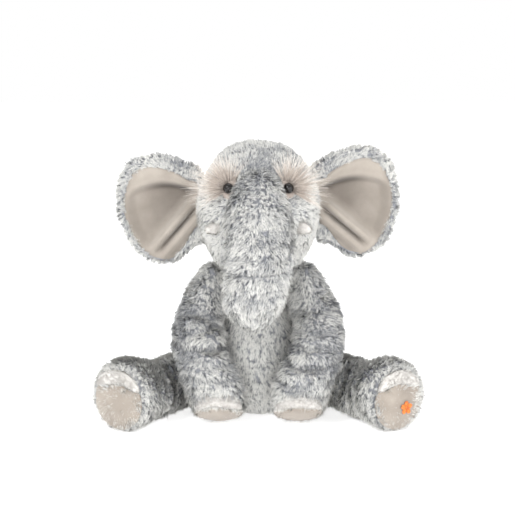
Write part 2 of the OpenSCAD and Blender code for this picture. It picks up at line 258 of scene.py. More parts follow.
# Materials
def hexColour(text):
    c = np.array([int(text[i:i + 2], 16) for i in (1, 3, 5)]) / 255
    return tuple(np.where(c <= 0.04045, c / 12.92, ((c + 0.055) / 1.055) ** 2.4)) + (1.0,)


def plainMaterial(name, colour, roughness=0.6, sheen=0.0):
    mat = bpy.data.materials.new(name)
    mat.use_nodes = True
    shader = mat.node_tree.nodes["Principled BSDF"]
    shader.inputs["Base Color"].default_value = hexColour(colour)
    shader.inputs["Roughness"].default_value = roughness
    shader.inputs["Sheen Weight"].default_value = sheen
    shader.inputs["Specular IOR Level"].default_value = 0.25
    mat.diffuse_color = hexColour(colour)
    return mat


# A node with some of its inputs set
def addNode(nodes, kind, **inputs):
    node = nodes.new(f"ShaderNode{kind}")
    for label, value in inputs.items():
        node.inputs[label.replace("_", " ")].default_value = value
    return node


# Cloth with a nap: two colours in soft blotches, fine grain and a bump of both
def napMaterial(name, dark, light, blotch, grain, bump, roughness, sheen, fold=None):
    mat = plainMaterial(name, light, roughness, sheen)
    tree = mat.node_tree
    nodes, links = tree.nodes, tree.links
    shader = nodes["Principled BSDF"]
    place = addNode(nodes, "TexCoord")
    wide = addNode(nodes, "TexNoise", Scale=blotch, Detail=3)
    fine = addNode(nodes, "TexNoise", Scale=grain, Detail=4)
    blend = addNode(nodes, "Math")
    blend.operation = "MULTIPLY_ADD"
    blend.inputs[1].default_value = 0.35
    ramp = addNode(nodes, "ValToRGB")
    for stop, at, tint in zip(ramp.color_ramp.elements, (0.45, 0.85), (dark, light)):
        stop.position = at
        stop.color = hexColour(tint)
    raised = addNode(nodes, "Bump", Strength=bump, Distance=0.6 * mm)
    dull = addNode(nodes, "MapRange", To_Min=roughness - 0.08, To_Max=roughness + 0.08)
    links.new(place.outputs["Object"], wide.inputs["Vector"])
    links.new(place.outputs["Object"], fine.inputs["Vector"])
    links.new(fine.outputs["Fac"], blend.inputs[0])
    links.new(wide.outputs["Fac"], blend.inputs[2])
    links.new(blend.outputs[0], ramp.inputs["Fac"])
    colour = ramp.outputs["Color"]
    if fold is not None:                 # painted shade: darker where the cloth folds away, by the fold attribute
        depth = addNode(nodes, "Attribute")
        depth.attribute_name = "fold"
        darker = addNode(nodes, "Mix")
        darker.data_type = "RGBA"
        darker.blend_type = "MULTIPLY"
        darker.inputs["B"].default_value = hexColour(fold)
        links.new(depth.outputs["Fac"], darker.inputs["Factor"])
        links.new(colour, darker.inputs["A"])
        colour = darker.outputs["Result"]
    links.new(colour, shader.inputs["Base Color"])
    links.new(fine.outputs["Fac"], raised.inputs["Height"])
    links.new(raised.outputs["Normal"], shader.inputs["Normal"])
    links.new(fine.outputs["Fac"], dull.inputs["Value"])
    links.new(dull.outputs["Result"], shader.inputs["Roughness"])
    return mat


# Fur: tufts of tapered strands grown on a skin
furTones = {
    "root": ["#606266", "#898b8f"],
    "middle": ["#8f9195", "#b9babb", "#d7d7d4"],
    "tip": ["#e3e2dd", "#efeee9", "#d0d0cd", "#9c9ea1"],
}
furMaterials = {k: [plainMaterial(f"fur {k} {i + 1}", c, 0.7, 0.15) for i, c in enumerate(v)]
                for k, v in furTones.items()}
greyFur = {
    "tones": furMaterials,
    "length": 10 * mm,      # of a straight strand
    "lay": 0.62,              # 0 stands up, 1 lies flat
    "width": 0.46 * mm,
    "tufts": 0.24e6,         # tufts in a square metre
    "strands": 6,             # in a tuft
    "spread": 1.6 * mm,       # radius of a tuft at its root
    "gather": 0.5,            # how far the tips close together
    "swirl": 0.9,             # how much the pile turns from patch to patch
    "patch": 17 * mm,         # size of a patch
    "most": 39000,            # strands in one mesh
    "contrast": 1.15,         # between patches
    "darkAbove": 0.62,        # the pile opens to its dark roots above this shade
    "paleBelow": -0.08,       # and shows only pale tips below this one
}


# Grows fur on a skin. comb(points, normals) gives the way the pile runs,
# keep(points, normals) says where it grows and tone(points, normals) how dark it is
def growFur(name, skin, comb, keep=None, seed=1, tone=None, **changes):
    look = {**greyFur, **changes}
    rng = np.random.default_rng(seed)
    mesh = skin.data
    mesh.calc_loop_triangles()
    tri = np.empty(len(mesh.loop_triangles) * 3, np.int32)
    mesh.loop_triangles.foreach_get("vertices", tri)
    tri = tri.reshape(-1, 3)
    co, no = pointsOf(skin), normalsOf(skin)
    corner = co[tri]
    cross = np.cross(corner[:, 1] - corner[:, 0], corner[:, 2] - corner[:, 0])
    area = np.linalg.norm(cross, axis=1) / 2
    if keep is not None:
        area = area * np.clip(keep(corner.mean(1), unit(cross)), 0, 1)
    amount = look["tufts"] * 1
    count = int(area.sum() * amount)
    chosen = rng.choice(len(tri), count, p=area / area.sum())
    u = np.sqrt(rng.random(count))[:, None]
    v = rng.random(count)[:, None]
    weights = np.hstack([1 - u, u * (1 - v), u * v])[:, :, None]
    at = (corner[chosen] * weights).sum(1)
    up = unit((no[tri[chosen]] * weights).sum(1))
    flow = comb(at, up)
    flow = unit(flow - (flow * up).sum(1, keepdims=True) * up)
    side = np.cross(up, flow)
    patch = look["patch"]
    turn = softNoise(at, patch * 1.6, seed + 3) + 0.5 * softNoise(at, patch * 0.5, seed + 4)
    turn = (look["swirl"] * turn + rng.normal(0, 0.28, count))[:, None]
    flow = flow * np.cos(turn) + side * np.sin(turn)
    side = np.cross(up, flow)
    shade = 0.6 * softNoise(at, patch, seed + 5) + 0.55 * softNoise(at, patch * 0.3, seed + 6)
    if tone is not None:
        shade = shade + tone(at, up)
    lay = look["lay"] + 0.16 * softNoise(at, patch * 0.7, seed + 7) + rng.normal(0, 0.07, count)
    lay = np.clip(lay, 0.05, 0.95)
    long = 1 + 0.22 * softNoise(at, patch * 0.6, seed + 8) + rng.normal(0, 0.12, count)
    long = look["length"] * long

    perTuft = look["strands"]
    total = count * perTuft
    spin = rng.random(total) * 2 * math.pi
    out = np.sqrt(rng.random(total)) * look["spread"] * 1
    tuft = np.repeat(np.arange(count), perTuft)
    offset = side[tuft] * (np.cos(spin) * out)[:, None] + flow[tuft] * (np.sin(spin) * out)[:, None]
    root = at[tuft] + offset - up[tuft] * 0.8 * mm
    length = (long[tuft] * (1 + rng.normal(0, 0.13, total)))[:, None]
    flat = lay[tuft][:, None]
    stray = rng.normal(0, 0.16, (total, 3))
    rise = unit(up[tuft] + 0.25 * stray)
    run = unit(flow[tuft] + stray)
    closing = -offset * look["gather"]
    steps = np.array([0, 0.36, 0.72, 1.0])
    width = look["width"] * 1 * np.array([1.0, 1.0, 0.72])
    spine = []
    for s in steps:
        height = length * (1 - flat) * (s * 1.25 - 0.25 * s * s) + length * flat * 0.30 * s * (1.5 - s)
        along = length * flat * (0.55 * s + 0.45 * s * s)
        spine.append(root + rise * height + run * along + closing * s)
    direction = unit(spine[3] - spine[0])
    across = unit(np.cross(direction, up[tuft]))
    tilt = rng.normal(0, 0.6, total)[:, None]
    across = across * np.cos(tilt) + np.cross(direction, across) * np.sin(tilt)
    points = np.empty((total, 7, 3), np.float32)
    for k in range(3):
        points[:, 2 * k] = spine[k] - across * width[k] / 2
        points[:, 2 * k + 1] = spine[k] + across * width[k] / 2
    points[:, 6] = spine[3]
    points[:, :, 2] = np.maximum(points[:, :, 2], 0.6 * mm)

    level = look["contrast"] * shade[tuft] + rng.normal(0, 0.38, total)
    dark = level > look["darkAbove"]
    pale = level < look["paleBelow"]
    roll = rng.random(total)
    rootTone = np.where(dark | (roll < 0.5), 0, 1)
    middleTone = np.where(dark, 0, np.where(pale, 2, 1))
    tipDark, tipPale, tipOther = (np.where(roll < share, a, b) for share, a, b in
                                  ((0.55, 3, 2), (0.7, 1, 0), (0.25, 2, 0)))
    tipTone = np.where(dark, tipDark, np.where(pale, tipPale, tipOther))
    slots = [m for key in ("root", "middle", "tip") for m in look["tones"][key]]
    firstMiddle = len(look["tones"]["root"])
    firstTip = firstMiddle + len(look["tones"]["middle"])
    index = np.stack([rootTone % firstMiddle,
                      firstMiddle + middleTone % (firstTip - firstMiddle),
                      firstTip + tipTone % (len(slots) - firstTip)], axis=1)

    lean = unit(up[tuft] * 0.85 + direction * 0.25 + rng.normal(0, 0.12, (total, 3)))
    pieces = []
    for start in range(0, total, look["most"]):
        some = slice(start, min(start + look["most"], total))
        label = name if start == 0 else f"{name}_{len(pieces) + 1}"
        pieces.append(strandMesh(label, points[some], index[some], lean[some], slots))
    print(f"{name}: {total} strands in {len(pieces)}")
    return pieces


# One mesh from strands of seven points each, with a material for each length of a strand
def strandMesh(name, points, index, lean, slots):
    total = len(points)
    base = np.arange(total)[:, None] * 7
    loops = (base + np.array([0, 1, 3, 2, 2, 3, 5, 4, 4, 5, 6])).ravel()
    starts = (np.arange(total)[:, None] * 11 + np.array([0, 4, 8])).ravel()
    made = bpy.data.meshes.new(name)
    made.vertices.add(total * 7)
    made.vertices.foreach_set("co", points.ravel())
    made.loops.add(len(loops))
    made.loops.foreach_set("vertex_index", loops.astype(np.int32))
    made.polygons.add(total * 3)
    made.polygons.foreach_set("loop_start", starts.astype(np.int32))
    made.polygons.foreach_set("material_index", index.ravel().astype(np.int32))
    for material in slots:
        made.materials.append(material)
    made.update()
    made.validate()
    made.shade_smooth()
    made.normals_split_custom_set_from_vertices(np.repeat(lean, 7, axis=0))
    obj = bpy.data.objects.new(name, made)
    scene.collection.objects.link(obj)
    return obj


# Gives every part of a coat its body, if one is given
def wear(coat, body):
    for part in coat:
        if body is not None:
            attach(part, body)


# Shared places, all from the frame
neckAt = jointAt("neck_turn")
trunkAt = jointAt("trunk_lift")
headLow, headHigh = boxOf("head_cover")
headMid = np.array([0, (headLow[1] + headHigh[1]) / 2, (headLow[2] + headHigh[2]) / 2])
headHalf = (headHigh[0] - headLow[0]) / 2
backing = napMaterial("fur backing", "#707278", "#9b9da2", 60, 700, 0.7, 0.85, 0.3)
velour = napMaterial("greige velour", "#8a8178", "#a1988e", 40, 1500, 0.35, 0.8, 0.3)
# the ear lining's velour darkens towards #5f5650 by painted shade in its hollow and crease
earVelour = napMaterial("ear velour", "#8f877e", "#a69e95", 30, 1400, 0.4, 0.8, 0.35, fold="#5f5650")
toePlush = napMaterial("white toe plush", "#c2bfba", "#dad7d3", 60, 900, 0.6, 0.85, 0.5)


def mirrored(points, side):
    return np.asarray(points, float) * [side, 1, 1]


# How deep the wavy creases are at each point: each has its place along the limb and its share of the depth.
# A wave is [height, size], and a patch is [least share that shows, size]
def creasesAt(p, along, look):
    total = np.zeros(len(p))
    (high, size), (fineHigh, fineSize), (least, patch) = look["wave"], look["fineWave"], look["patch"]
    q, r = (p * [1, 1, squeeze] for squeeze in look["squeeze"])
    first, second, third = look["seeds"]
    for i, (place, share) in enumerate(look["creases"]):
        wave = high * softNoise(q, size, first + i) + fineHigh * softNoise(q, fineSize, second + i)
        part = least + (1 - least) * softNoise(r, patch, third + i)
        total += share * part * np.exp(-((along - place - wave) / look["creaseWidth"]) ** 2)
    return total


# Lets a skin shrink under its fur
def inset(obj, depth):
    setPoints(obj, pointsOf(obj) - normalsOf(obj) * depth)


# Pushes a skin in and out by whatever the given function says, in metres
def shaped(obj, push):
    co, no = pointsOf(obj), normalsOf(obj)
    setPoints(obj, co + no * push(co, no)[:, None])


# Soft lumps of the given [height, size, seed], the sizes in millimetres
def lumpy(obj, *lumps):
    shaped(obj, lambda p, n: sum(high * mm * softNoise(p, size * mm, seed) for high, size, seed in lumps))


# A comb with one way for the whole coat
def combed(way):
    return lambda p, n: np.tile(way, (len(p), 1))


# One shade for the whole coat
def toned(shade):
    return lambda p, n: np.full(len(p), shade)


def recoloured(obj, material):
    obj.data.materials.clear()
    obj.data.materials.append(material)


# A fabric piece gets its material and its body, and the solids that it stands for are hidden
def dressed(obj, material, nodes, body=None):
    recoloured(obj, material)
    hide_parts(*nodes)
    if body is not None:
        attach(obj, body)


# The way a piece on the face points, turned outwards by yaw and up by pitch, in degrees
def facing(sign, yaw, pitch):
    yaw, pitch = math.radians(yaw), math.radians(pitch)
    level = math.cos(pitch)
    return np.array([math.sin(yaw) * level * sign, -math.cos(yaw) * level, math.sin(pitch)])


# Points of flat coordinates [right, up, out] at a place
def placed(flat, centre, right, up, out):
    return centre + np.outer(flat[:, 0], right) + np.outer(flat[:, 1], up) + np.outer(flat[:, 2], out)


# One ring of [right, up, out] for a pad
def padRing(radius, angle, height):
    heights = np.broadcast_to(height, angle.shape)
    return np.column_stack([radius * np.cos(angle), radius * np.sin(angle), heights])


# Keeps a piece off the floor
def lifted(obj, height):
    setPoints(obj, np.maximum(pointsOf(obj), [-9, -9, height]))


def nodeCopies(*names):
    return [frame["nodes"][n] for n in names]


# Torso: a pear of fur that carries the neck and both shoulders
torso = {
    "neckRadius": 41 * mm,
    "shoulderRadius": 27 * mm,
    "hipRadius": 29 * mm,
    "furGap": 2.0 * mm,      # how far the skin sits under the fur's own surface
    "swell": 4 * mm,         # the most that the cloth may move
}
fills = [tube("neck column", [(0, -2 * mm, 120 * mm, 38 * mm), (0, -5 * mm, 160 * mm, torso["neckRadius"]),
                              (0, -9 * mm, 190 * mm, 40 * mm)])]
for side in sides.values():
    s, h = mirrored(jointAt("arm_lift_left"), side), mirrored(jointAt("leg_spread_left"), side)
    shoulder = [(s[0] * 0.40, s[1] * 0.4, s[2] + 11 * mm, torso["shoulderRadius"] + 2 * mm),
                (s[0] * 0.84, s[1] * 0.7, s[2] + 8 * mm, torso["shoulderRadius"])]
    hips = [(h[0] * 0.5, h[1] * 0.5, h[2], torso["hipRadius"] + 1 * mm),
            (h[0] * 0.8, h[1] * 0.9, h[2], torso["hipRadius"])]
    fills += [tube("shoulder fill", shoulder), tube("hip fill", hips)]
torsoSkin = wrapped("torso_skin", nodeCopies("torso_cover", "torso_filling") + fills)
inset(torsoSkin, torso["furGap"])
plump(torsoSkin, lambda p: (p[:, 2] < 4 * mm) | (p[:, 2] > 150 * mm) | (abs(p[:, 0]) < 3 * mm),
      torso["swell"])
dressed(torsoSkin, backing, ["torso_cover", "torso_filling"], "torso")


def torsoComb(p, n):
    out = unit(p * [1, 1, 0])
    sway = (softNoise(p, 30 * mm, 9) * 0.25)[:, None] * np.cross(out, [0, 0, 1.0])
    return out * 0.15 + np.array([0, 0, -1.0]) + sway


# Painted light: fur that faces the front is made paler, as if lit from the front
def torsoTone(p, n):
    front = smoothStep(-0.2, 0.8, -n[:, 1])
    return -0.75 * front


torsoFur = growFur("torso_fur", torsoSkin, torsoComb, lambda p, n: p[:, 2] > 3 * mm, seed=11,
                   tone=torsoTone, lay=0.74, swirl=0.5, length=9 * mm)
wear(torsoFur, "torso")
print("torso done")

whiteTones = {
    "root": [plainMaterial("toe pile root", "#c2beb9", 0.8, 0.1)],
    "middle": [plainMaterial("toe pile middle", "#d9d6d1", 0.8, 0.1)],
    "tip": [plainMaterial("toe pile tip", "#e8e5e1", 0.8, 0.1)],
}


# Soles: a puffed velour pad with a white toe panel sewn over its upper edge
soles = {
    "crown": 3.6 * mm,       # how far the velour swells out
    "toeCrown": 3.4 * mm,
    "toeDepth": {"arm": 9 * mm, "leg": 12.5 * mm},     # how far the panel comes down over the sole
    "toeWrap": {"arm": 13 * mm, "leg": 5 * mm},        # how far it goes back over the fur
    "toeHalf": {"arm": 66, "leg": 62},                 # degrees that it reaches to each side of the top
    "armTilt": 38,           # degrees
    "legSplay": 33,
}


# Joins rings of [x, y, height] into one closed pad that stands on a sole's plane
def padFromRings(name, rings, place):
    n = len(rings[0])
    points = [p for ring in rings for p in ring] + [np.mean(rings[0], axis=0), np.mean(rings[-1], axis=0)]
    faces = ringFaces(len(rings), n)
    first, last, base = len(points) - 2, len(points) - 1, (len(rings) - 1) * n
    faces += [(first, (i + 1) % n, i) for i in range(n)]
    faces += [(base + i, base + (i + 1) % n, last) for i in range(n)]
    return meshObject(name, place(np.array(points)), faces)


# Where a limb ends, from the box round its sole and its toe panel
def limbEnd(limb, side, normal, axis):
    low, high = boxOf(f"{limb}_sole_{side}")
    toeLow, toeHigh = boxOf(f"{limb}_toe_{side}")
    low, high = np.minimum(low, toeLow), np.maximum(high, toeHigh)
    return (low + high) / 2 - normal * 1.5 * mm, (high[axis] - low[axis]) / 2


def solePair(limb, side, body, centre, normal, up, radius):
    right = np.cross(up, normal)
    depth, wrap, reach = soles["toeDepth"][limb], soles["toeWrap"][limb], soles["toeHalf"][limb]

    def place(flat):
        return placed(flat, centre, right, up, normal)

    label = f"{limb}_{side}"
    angle = np.linspace(0, 2 * math.pi, 96, endpoint=False)
    fromTop = abs(np.degrees(np.arctan2(np.cos(angle), np.sin(angle))))
    edge = radius - (depth - 0.6 * mm) * smoothStep(reach + 6, reach - 26, fromTop)
    rings = []
    for f in np.sin(np.linspace(0.04, 1, 22) * math.pi / 2):
        pucker = 0.35 * mm * f ** 6 * np.sin(angle * 31 + 2 * np.sin(angle * 5))
        rings.append(padRing(edge * f, angle, soles["crown"] * (1 - f ** 3.2) + pucker))
    rings += [padRing(edge * f, angle, -2.2 * mm) for f in (0.99, 0.5)]
    sole = padFromRings(f"{label}_sole", rings, place)
    lumpy(sole, (0.35, 13, 21), (0.15, 5, 22))
    dressed(sole, velour, [f"{limb}_sole_{side}"], body)

    around = []
    for t in np.linspace(-1, 1, 61):
        turn = math.radians(90 - t * reach)
        size = math.sqrt(max(1 - abs(t) ** 2.6, 0.0))
        spoke = np.array([math.cos(turn), math.sin(turn)])
        inner, back, crown = radius - depth * size, wrap * size, soles["toeCrown"] * size
        line = []
        for u in np.linspace(0, 1, 9):         # over the sole, from its seam to its rim
            height = crown * math.sin(math.pi * (0.08 + 0.55 * u))
            line.append([*(spoke * (inner + (radius - inner) * u)), height])
        for u in np.linspace(0.12, 1, 8):      # over the rim and back along the fur
            bulge = crown * math.cos(math.pi / 2 * u) ** 0.5
            line.append([*(spoke * (radius + bulge + 0.8 * mm)), line[8][2] * (1 - u) - back * u])
        under = spoke * (radius - 4 * mm)
        line += [[*under, -back], [*under, -2.4 * mm], [*(spoke * inner), -2.4 * mm]]
        around.append(np.array(line))
    toe = padFromRings(f"{label}_toe", around, place)
    lumpy(toe, (0.6, 9, 23))
    lifted(toe, 0.8 * mm)
    dressed(toe, toePlush, [f"{limb}_toe_{side}"], body)
    pile = growFur(f"{label}_toe_pile", toe, combed(up - normal * 0.2), None,
                   seed=31, tones=whiteTones, length=4.0 * mm, lay=0.55,
                   tufts=0.35e6, strands=5, spread=1.2 * mm, width=0.45 * mm)
    wear(pile, body)


# Arms
arms = {
    "furGap": 2.4 * mm,
    "swell": 4 * mm,
    # [height, share of the depth]
    "creases": [(0.128, 0.7), (0.112, 0.9), (0.096, 1.1), (0.079, 1.0), (0.061, 0.8), (0.045, 0.5)],
    "creaseDepth": 7.0 * mm,
    "creaseWidth": 4.4 * mm,
    "wave": (7 * mm, 30 * mm),
    "fineWave": (3 * mm, 12 * mm),
    "patch": (0.5, 26 * mm),
    "squeeze": (0.2, 0.1),       # of the waves and the patches, up the arm
    "seeds": (40, 50, 60),
    "shoulderTuck": 6.0 * mm,    # how far the outside of the shoulder slopes in
}


def armCrease(p):
    return creasesAt(p, p[:, 2], arms)


for name, sign in sides.items():
    body = f"arm_{name}"
    tilt = math.radians(soles["armTilt"])
    endNormal = np.array([0, -math.sin(tilt), -math.cos(tilt)])
    endUp = np.array([0, -math.cos(tilt), math.sin(tilt)])
    end, endRadius = limbEnd("arm", name, endNormal, 0)
    root = mirrored(jointAt("arm_lift_left"), sign)
    shoulder = [(root[0] - 2 * mm * sign, root[1] + 1 * mm, root[2] + 10 * mm, 25 * mm),
                (root[0] + 5 * mm * sign, root[1] - 6 * mm, root[2] - 12 * mm, 28 * mm)]
    skin = wrapped(f"arm_{name}_skin", nodeCopies(f"arm_cover_{name}", f"arm_filling_{name}")
                   + [tube("shoulder", shoulder)], 3.5 * mm)
    inset(skin, arms["furGap"])
    plump(skin, lambda p: (((p - end) @ endNormal) > -6 * mm) | (np.linalg.norm(p - root, axis=1) < 24 * mm),
          arms["swell"])

    def armShape(p, n):
        lumps = -arms["creaseDepth"] * armCrease(p) + 1.4 * mm * softNoise(p, 24 * mm, 70)
        outside = smoothStep(-0.1, 0.7, n[:, 0] * sign)
        return lumps - arms["shoulderTuck"] * smoothStep(116 * mm, 158 * mm, p[:, 2]) * outside

    shaped(skin, armShape)
    lifted(skin, 1.2 * mm)
    dressed(skin, backing, [f"arm_cover_{name}", f"arm_filling_{name}"], body)

    def armComb(p, n):
        down = np.tile(np.array([0.0, -0.1, -1.0]), (len(p), 1))
        near = smoothStep(45 * mm, 20 * mm, p[:, 2])[:, None]
        return down * (1 - near) + (endNormal + 0.3 * endUp) * near + unit((p - end) * [1, 1, 0]) * 0.15

    # Painted shade: darker in the creases; besides, a little paler overall, darker on the outer side and
    # paler at the wrist
    def armTone(p, n):
        outer = smoothStep(-0.2, 0.7, n[:, 0] * sign)
        wrist = smoothStep(70 * mm, 40 * mm, p[:, 2])
        return 2.5 * armCrease(p) - 0.30 + 0.55 * outer * (1 - wrist) - 0.20 * wrist

    fur = growFur(f"arm_{name}_fur", skin, armComb, lambda p, n: ((p - end) @ endNormal) < -0.5 * mm,
                  seed=13 if sign > 0 else 14, tone=armTone, lay=0.6)
    wear(fur, body)
    solePair("arm", name, body, end, endNormal, endUp, endRadius)
print("arms done")

# Legs
legs = {
    "rim": 0.8 * mm,          # of fur in front, round the sole
    "furGap": 2.2 * mm,
    "swell": 4 * mm,
    # [place behind the sole, share of the depth]
    "creases": [(-0.038, 0.9), (-0.052, 0.7), (-0.075, 0.8), (-0.098, 0.6)],
    "creaseDepth": 5.5 * mm,
    "creaseWidth": 4.5 * mm,
    "wave": (6 * mm, 28 * mm),
    "fineWave": (2 * mm, 11 * mm),
    "patch": (0.55, 30 * mm),
    "squeeze": (1, 1),
    "seeds": (80, 85, 90),
}
for name, sign in sides.items():
    body = f"leg_{name}"
    splay = math.radians(soles["legSplay"])
    endNormal = np.array([math.sin(splay) * sign, -math.cos(splay), 0])
    endUp = np.array([0, 0, 1.0])
    end, outerRadius = limbEnd("leg", name, endNormal, 2)
    endRadius = outerRadius - legs["rim"]
    hip = mirrored(jointAt("leg_spread_left"), sign)
    skin = wrapped(f"leg_{name}_skin", nodeCopies(f"leg_cover_{name}", f"leg_filling_{name}"), 4 * mm)
    inset(skin, legs["furGap"])
    plump(skin, lambda p: (((p - end) @ endNormal) > -6 * mm) | (np.linalg.norm(p - hip, axis=1) < 30 * mm)
          | (p[:, 2] < 5 * mm), legs["swell"])

    def legCrease(p):
        return creasesAt(p, (p - end) @ endNormal, legs)

    shaped(skin, lambda p, n: -legs["creaseDepth"] * legCrease(p) + 1.4 * mm * softNoise(p, 26 * mm, 71))
    lifted(skin, 1.2 * mm)
    dressed(skin, backing, [f"leg_cover_{name}", f"leg_filling_{name}"], body)

    def legComb(p, n):
        along = (p - end) @ endNormal
        radial = unit(p - end - np.outer(along, endNormal))
        rim = smoothStep(-14 * mm, -2 * mm, along)[:, None]
        fall = np.array([0, 0, -0.35]) * smoothStep(90 * mm, 30 * mm, -along)[:, None]
        return endNormal * (1 - 0.5 * rim) + radial * 1.6 * rim + fall

    # Painted shade: darker in the creases; painted light: much paler overall, against the shade that the
    # legs sit in; darker close to the sole
    def legTone(p, n):
        along = (p - end) @ endNormal
        return 1.9 * legCrease(p) - 0.95 + 0.75 * smoothStep(-12 * mm, -3 * mm, along)

    def legKeep(p, n):
        along = (p - end) @ endNormal
        radial = np.linalg.norm(p - end - np.outer(along, endNormal), axis=1)
        return ((along < -0.5 * mm) | (radial > endRadius - 0.5 * mm)) & (p[:, 2] > 1.4 * mm)

    fur = growFur(f"leg_{name}_fur", skin, legComb, legKeep,
                  seed=15 if sign > 0 else 16, tone=legTone, lay=0.55)
    wear(fur, body)
    solePair("leg", name, body, end, endNormal, endUp, endRadius)
print("legs done")

# Head: one dome with full cheeks; the trunk's root is filled in under its own skin
head = {
    "furGap": 3.4 * mm,
    "swell": 3 * mm,
    "browFold": 2.6 * mm,     # height of the crinkles over the trunk's top
    "dome": {"out": 12 * mm, "radius": 48 * mm, "rise": 6 * mm},
}
t = trunkAt
dome = head["dome"]
domeTop = headHigh[2] - dome["radius"] + dome["rise"]
domeWay = [(sign * dome["out"], headMid[1] - 2 * mm, domeTop, dome["radius"]) for sign in (-1, 1)]
rootWay = [(0, t[1] + 34 * mm, t[2] + 6 * mm, 33 * mm),
           (0, t[1] + 26 * mm, t[2] - 24 * mm, 32 * mm),
           (0, t[1] + 34 * mm, t[2] - 48 * mm, 27 * mm)]
fills = [tube("dome", domeWay), tube("trunk root fill", rootWay)]
for sign in sides.values():
    fills.append(tube("cheek", [(sign * 30 * mm, headMid[1] - 18 * mm, headMid[2] - 22 * mm, 40 * mm),
                                (sign * 26 * mm, headMid[1] - 20 * mm, headMid[2] - 42 * mm, 33 * mm)]))
headSkin = wrapped("head_skin", nodeCopies("head_cover", "head_filling") + fills)
inset(headSkin, head["furGap"])
plump(headSkin, lambda p: (p[:, 2] < headLow[2] + 8 * mm) | (abs(p[:, 0]) < 3 * mm), head["swell"])


def browArch(p):
    x, z = p[:, 0] / mm, (p[:, 2] - t[2]) / mm
    arch = 60 - 0.016 * x * x
    return np.exp(-((z - arch) / 5.0) ** 2) * smoothStep(42, 30, abs(x)) * (p[:, 1] < headMid[1])


def headShape(p, n):
    crinkle = softNoise(p * [1.6, 1, 1], 7 * mm, 101) + 0.6 * softNoise(p, 4 * mm, 102)
    return browArch(p) * (head["browFold"] * crinkle - 1.5 * mm) + 1.2 * mm * softNoise(p, 30 * mm, 103)


shaped(headSkin, headShape)
dressed(headSkin, backing, ["head_cover", "head_filling"], "head")

eyeFront = {}
for name in sides:
    low, high = boxOf(f"eye_{name}")
    middle = (low + high) / 2
    eyeFront[name] = np.array([middle[0], low[1] + 6 * mm, middle[2]])


def eyeSpread(p):
    return np.min([np.linalg.norm(p - spot, axis=1) for spot in eyeFront.values()], axis=0)


def headComb(p, n):
    fromFace = unit((p - (headMid + [0, -headHalf, 8 * mm])) * [1, 0.4, 1])
    down = np.array([0, 0.1, -1.0])
    low = smoothStep(headMid[2] + 18 * mm, headMid[2] - 16 * mm, p[:, 2])[:, None]
    back = smoothStep(headMid[1] - 10 * mm, headMid[1] + 40 * mm, p[:, 1])[:, None]
    comb = fromFace * (1 - low) + (down + 0.5 * fromFace) * low
    return comb * (1 - back) + (down + 0.2 * fromFace) * back


# Painted shade: darker in the brow's sunken crinkles; besides, paler on the lower front of the cheeks and
# darker on the forehead
def headTone(p, n):
    lower = smoothStep(headMid[2] + 22 * mm, headMid[2] - 8 * mm, p[:, 2])
    cheek = smoothStep(34 * mm, 52 * mm, abs(p[:, 0])) * lower
    front = smoothStep(headMid[1] + 10 * mm, headMid[1] - 30 * mm, p[:, 1])
    upper = smoothStep(t[2] + 52 * mm, t[2] + 66 * mm, p[:, 2])
    forehead = upper * smoothStep(46 * mm, 24 * mm, abs(p[:, 0])) * front
    return -0.9 * cheek * front + 0.55 * browArch(p) + 0.30 * forehead - 0.04


def offFace(p, n):
    return eyeSpread(p) > 8.5 * mm


half = {"front": lambda p, n: offFace(p, n) & (p[:, 1] <= headMid[1]),
        "back": lambda p, n: p[:, 1] > headMid[1]}
for k, (where, keep) in enumerate(half.items()):
    fur = growFur(f"head_fur_{where}", headSkin, headComb, keep, seed=17 + k, tone=headTone,
                  length=8.5 * mm, lay=0.66, tufts=0.26e6, contrast=1.6)
    wear(fur, "head")
print("head done")

# Trunk: sewn on under the brow, hanging forward with a small curl at its tip
trunk = {
    # [x, y, z, radius] from the trunk's joint, in millimetres
    "way": [(0, 38, 42, 20), (0, 16, 34, 28), (0, 1, 10, 34.5), (1, -12, -22, 36), (0, -21, -50, 33),
            (-4, -24, -70, 33), (-6, -22, -80, 31.5)],
    "furGap": 3.2 * mm,
    "swell": 3 * mm,
    # [place above the trunk's joint, share of the depth]
    "creases": [(-14 * mm, 0.6), (-30 * mm, 0.8), (-46 * mm, 1.5), (-74 * mm, 0.6)],
    "creaseDepth": 4.2 * mm,
    "creaseWidth": 3.2 * mm,
    "wave": (5 * mm, 24 * mm),
    "fineWave": (2 * mm, 9 * mm),
    "patch": (0.5, 22 * mm),
    "squeeze": (1, 1),
    "seeds": (110, 115, 120),
}
way = [(t[0] + x * mm, t[1] + y * mm, t[2] + z * mm, r * mm) for x, y, z, r in trunk["way"]]
trunkSkin = wrapped("trunk_skin", [tube("trunk", way, flat=0.94)], 3.5 * mm, 4)
plump(trunkSkin, lambda p: p[:, 2] > t[2] + 20 * mm, trunk["swell"])


def trunkCrease(p):
    return creasesAt(p, p[:, 2] - t[2], trunk)


shaped(trunkSkin, lambda p, n: -trunk["creaseDepth"] * trunkCrease(p)
       + 1.3 * mm * softNoise(p, 20 * mm, 125))
dressed(trunkSkin, backing, ["trunk_cover", "trunk_filling"])


def trunkComb(p, n):
    top = smoothStep(t[2] - 10 * mm, t[2] + 40 * mm, p[:, 2])[:, None]
    side = np.sign(p[:, 0:1]) * np.array([1.0, 0, 0]) * top * 0.5
    sway = 0.5 * softNoise(p, 20 * mm, 130)[:, None] * np.array([1.0, 0, 0])
    return np.tile([0, -0.15, -1.0], (len(p), 1)) + side + sway


# Painted shade: darker in the creases; also a little darker towards the top
def trunkTone(p, n):
    top = smoothStep(t[2] + 5 * mm, t[2] + 45 * mm, p[:, 2])
    return 1.5 * trunkCrease(p) - 0.04 + 0.22 * top


